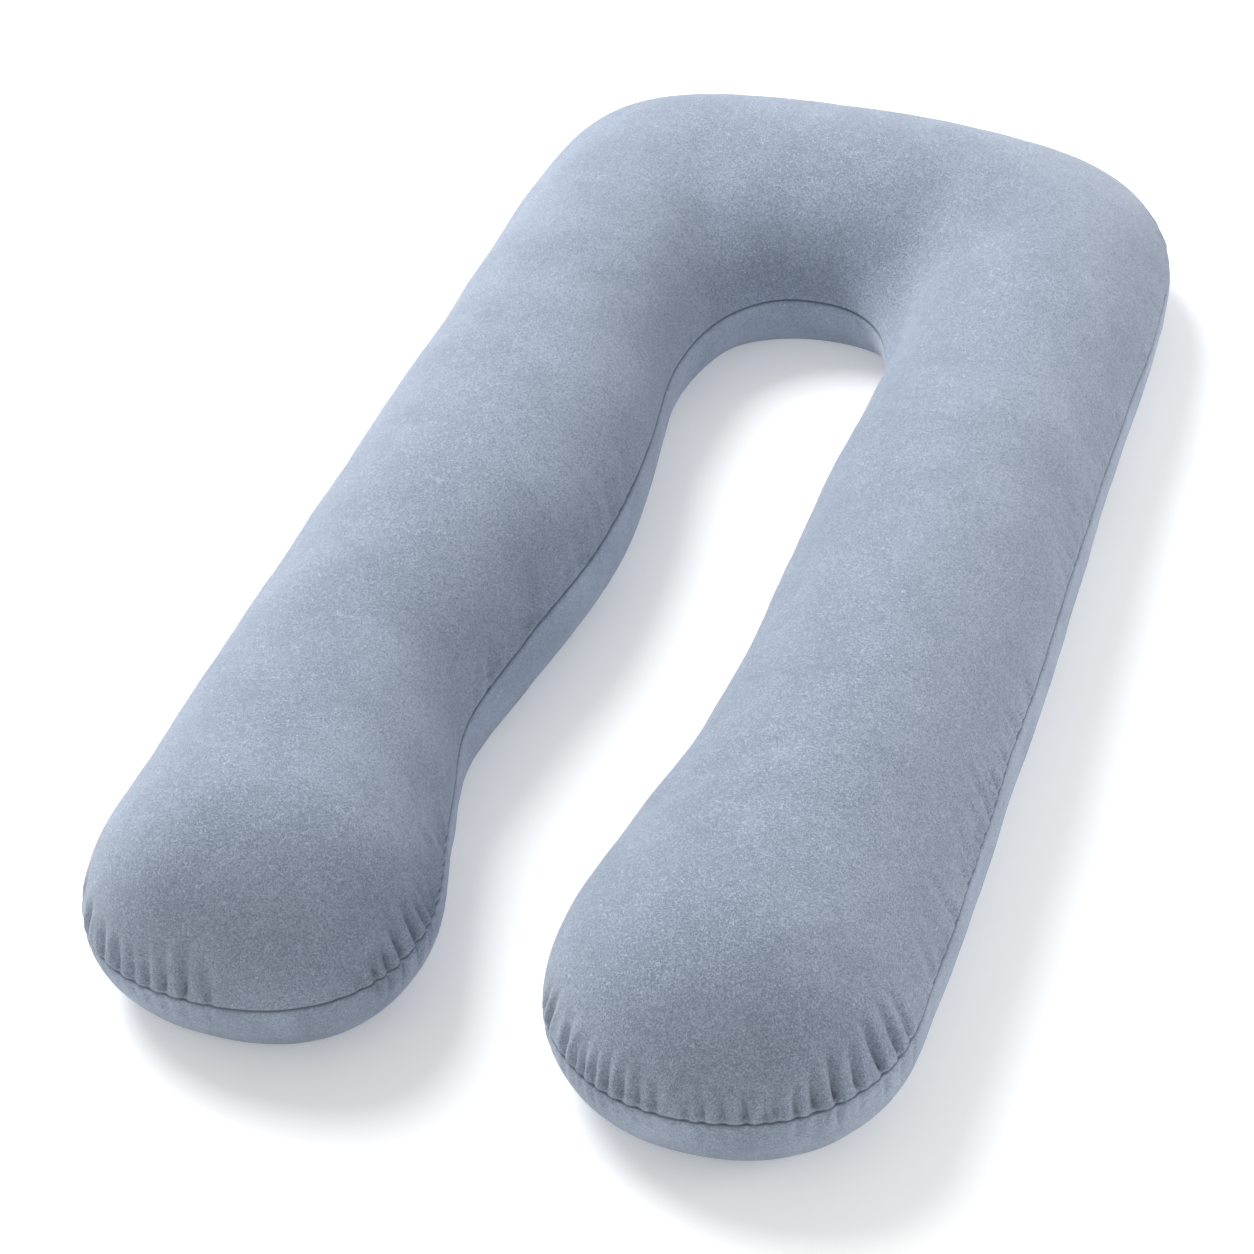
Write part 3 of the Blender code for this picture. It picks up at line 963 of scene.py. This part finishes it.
    def math(self, nodes: bpy.types.Nodes, links: bpy.types.NodeLinks, operation: str,
             *values: bpy.types.NodeSocket | float) -> bpy.types.NodeSocket:
        """A sum worked out by the material.

        Args:
            nodes: The material's nodes.
            links: The material's links.
            operation: The sum's kind.
            *values: Its numbers, each fixed or worked out by another node.

        Returns:
            The result.
        """
        node = nodes.new("ShaderNodeMath")
        node.operation = operation
        for socket, value in zip(node.inputs, values):
            if isinstance(value, bpy.types.NodeSocket):
                links.new(value, socket)
            else:
                socket.default_value = value
        return node.outputs[0]

    def soft_step(self, nodes: bpy.types.Nodes, links: bpy.types.NodeLinks,
                  value: bpy.types.NodeSocket, start: float, end: float) -> bpy.types.NodeSocket:
        """A soft rise from 0 to 1.

        Args:
            nodes: The material's nodes.
            links: The material's links.
            value: What it follows.
            start: Where it leaves 0.
            end: Where it gets to 1.

        Returns:
            The rise's value.
        """
        node = nodes.new("ShaderNodeMapRange")
        node.interpolation_type = "SMOOTHSTEP"
        node.inputs["From Min"].default_value = start
        node.inputs["From Max"].default_value = end
        links.new(value, node.inputs["Value"])
        return node.outputs["Result"]

    def noise(self, nodes: bpy.types.Nodes, links: bpy.types.NodeLinks, place: bpy.types.NodeSocket,
              scale: float, detail: float, distortion: float) -> bpy.types.NodeSocket:
        """A noise texture over the pillow.

        Args:
            nodes: The material's nodes.
            links: The material's links.
            place: The coordinates that it is laid out by.
            scale: How many features it has to the metre.
            detail: How many finer layers it has.
            distortion: How much its features curl.

        Returns:
            The noise's value.
        """
        noise = nodes.new("ShaderNodeTexNoise")
        noise.inputs["Scale"].default_value = scale
        noise.inputs["Detail"].default_value = detail
        noise.inputs["Distortion"].default_value = distortion
        links.new(place, noise.inputs["Vector"])
        return noise.outputs["Fac"]


@dataclass
class PregnancyPillow:
    """The pillow: its stuffed form, the folds of its cover and its velvet."""

    form: PillowForm
    folds: CoverFolds
    filling: FillingPressure
    finish: VelvetFinish
    name: str = "velvet_pillow"
    fill: float = 0.9

    def build(self) -> bpy.types.Object:
        """The pillow as one closed mesh.

        Returns:
            The pillow's object, in the scene and not yet dressed.
        """
        grid = self.form.cover()
        grid.points = self.folds.pressed(grid)
        grid.points = grid.points + self.filling.settle(grid)
        points, faces = grid.faces()
        mesh = bpy.data.meshes.new(self.name)
        mesh.from_pydata(points.tolist(), [], faces)
        mesh.shade_smooth()
        over_seam = mesh.attributes.new(SEAM_ATTRIBUTE, "FLOAT", "POINT")
        over_seam.data.foreach_set("value", grid.shared(grid.over_seam).ravel())
        piece = bpy.data.objects.new(self.name, mesh)
        bpy.context.scene.collection.objects.link(piece)
        return piece

    def dress(self, piece: bpy.types.Object) -> None:
        """Cover the pillow with its velvet and say what it stands for.

        Args:
            piece: The pillow's object.
        """
        piece.data.materials.append(self.finish.material())
        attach(piece, "root")
        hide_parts("pillow")


@dataclass(frozen=True)
class Lamp:
    """A round soft light aimed at the origin."""

    name: str
    place: tuple[float, float, float]
    size: float
    power: float

    def hang(self) -> bpy.types.Object:
        """Add the light to the scene.

        Returns:
            The light's object.
        """
        data = bpy.data.lights.new(self.name, "AREA")
        data.shape = "DISK"
        data.size = self.size
        data.energy = self.power
        lamp = bpy.data.objects.new(self.name, data)
        aim = (-Vector(self.place)).to_track_quat("-Z", "Y")
        lamp.matrix_world = Matrix.LocRotScale(Vector(self.place), aim, None)
        bpy.context.scene.collection.objects.link(lamp)
        return lamp


@dataclass
class Studio:
    """A plain pale floor, an even fill, a large soft light behind on the left and one on the right."""

    floor_size: float = 40.0
    floor_colour: tuple[float, float, float, float] = (0.90, 0.90, 0.90, 1)
    floor_glow: float = 0.29
    floor_roughness: float = 0.9
    floor_specular: float = 0.1
    fill_from: tuple[float, float, float] = (-0.60, 0.50, 0.70)
    fill_strength: float = 0.38
    fill_slope: float = 0.32
    lamps: tuple[Lamp, ...] = (
        Lamp("key_light", place=(-3.4, 2.4, 4.0), size=4.0, power=470.0),
        Lamp("side_light", place=(2.9, 0.3, 0.8), size=1.6, power=30.0),
    )

    def floor(self) -> bpy.types.Object:
        """The floor, as part of the stage.

        Returns:
            The floor's object.
        """
        half = self.floor_size / 2
        mesh = bpy.data.meshes.new("floor")
        corners = [(-half, -half, 0), (half, -half, 0), (half, half, 0), (-half, half, 0)]
        mesh.from_pydata(corners, [], [(0, 1, 2, 3)])
        material = bpy.data.materials.new("pale_floor")
        material.use_nodes = True
        shader = material.node_tree.nodes["Principled BSDF"]
        shader.inputs["Base Color"].default_value = self.floor_colour
        shader.inputs["Emission Color"].default_value = self.floor_colour
        shader.inputs["Emission Strength"].default_value = self.floor_glow
        shader.inputs["Roughness"].default_value = self.floor_roughness
        shader.inputs["Specular IOR Level"].default_value = self.floor_specular
        mesh.materials.append(material)
        floor = bpy.data.objects.new("floor", mesh)
        bpy.context.scene.collection.objects.link(floor)
        return floor

    def lights(self) -> None:
        """The fill from all round, brighter from behind on the left, and the lamps."""
        scene = bpy.context.scene
        scene.view_settings.view_transform = "Standard"
        scene.world = bpy.data.worlds.new("studio")
        scene.world.use_nodes = True
        background = scene.world.node_tree.nodes["Background"]
        background.inputs["Color"].default_value = (1, 1, 1, 1)
        way = scene.world.node_tree.nodes.new("ShaderNodeTexCoord").outputs["Generated"]
        facing = scene.world.node_tree.nodes.new("ShaderNodeVectorMath")
        facing.operation = "DOT_PRODUCT"
        facing.inputs[1].default_value = self.fill_from
        strength = scene.world.node_tree.nodes.new("ShaderNodeMath")
        strength.operation = "MULTIPLY_ADD"
        strength.inputs[1].default_value = self.fill_slope
        strength.inputs[2].default_value = self.fill_strength
        links = scene.world.node_tree.links
        links.new(way, facing.inputs[0])
        links.new(facing.outputs["Value"], strength.inputs[0])
        links.new(strength.outputs[0], background.inputs["Strength"])
        for lamp in self.lamps:
            lamp.hang()


@dataclass
class PhotoCamera:
    """The camera at the photo's angle: in front, to the right and well above the pillow."""

    lens: float = 95.87
    sensor: float = 36.0
    azimuth: float = 20.968
    elevation: float = 39.498
    roll: float = -4.252
    target: tuple[float, float, float] = (-0.0132, -0.1775, 0.1)
    distance: float = 3.0934

    def place(self) -> bpy.types.Object:
        """Add the camera and make it the scene's own.

        Returns:
            The camera's object.
        """
        azimuth, elevation, roll = map(math.radians, (self.azimuth, self.elevation, self.roll))
        back = Vector((
            math.sin(azimuth) * math.cos(elevation),
            -math.cos(azimuth) * math.cos(elevation),
            math.sin(elevation),
        ))
        level = Vector((math.cos(azimuth), math.sin(azimuth), 0))
        upright = back.cross(level)
        right = level * math.cos(roll) + upright * math.sin(roll)
        up = upright * math.cos(roll) - level * math.sin(roll)
        data = bpy.data.cameras.new("photo_camera")
        data.lens = self.lens
        data.sensor_width = self.sensor
        camera = bpy.data.objects.new("photo_camera", data)
        place = Matrix((right, up, back)).transposed().to_4x4()
        place.translation = Vector(self.target) + back * self.distance
        camera.matrix_world = place
        bpy.context.scene.collection.objects.link(camera)
        bpy.context.scene.camera = camera
        return camera


def main() -> None:
    """Build the pillow, the studio and the camera, and report each piece."""
    logging.basicConfig(level=logging.INFO, format="%(message)s")
    pillow = PregnancyPillow(PillowForm(), CoverFolds(), FillingPressure(), VelvetFinish())
    piece = pillow.build()
    pillow.dress(piece)
    LOG.info("%s: %d faces", piece.name, len(piece.data.polygons))
    studio = Studio()
    LOG.info("%s, on which the pillow lies", studio.floor().name)
    studio.lights()
    LOG.info("%s", PhotoCamera().place().name)


if __name__ == "__main__":
    main()
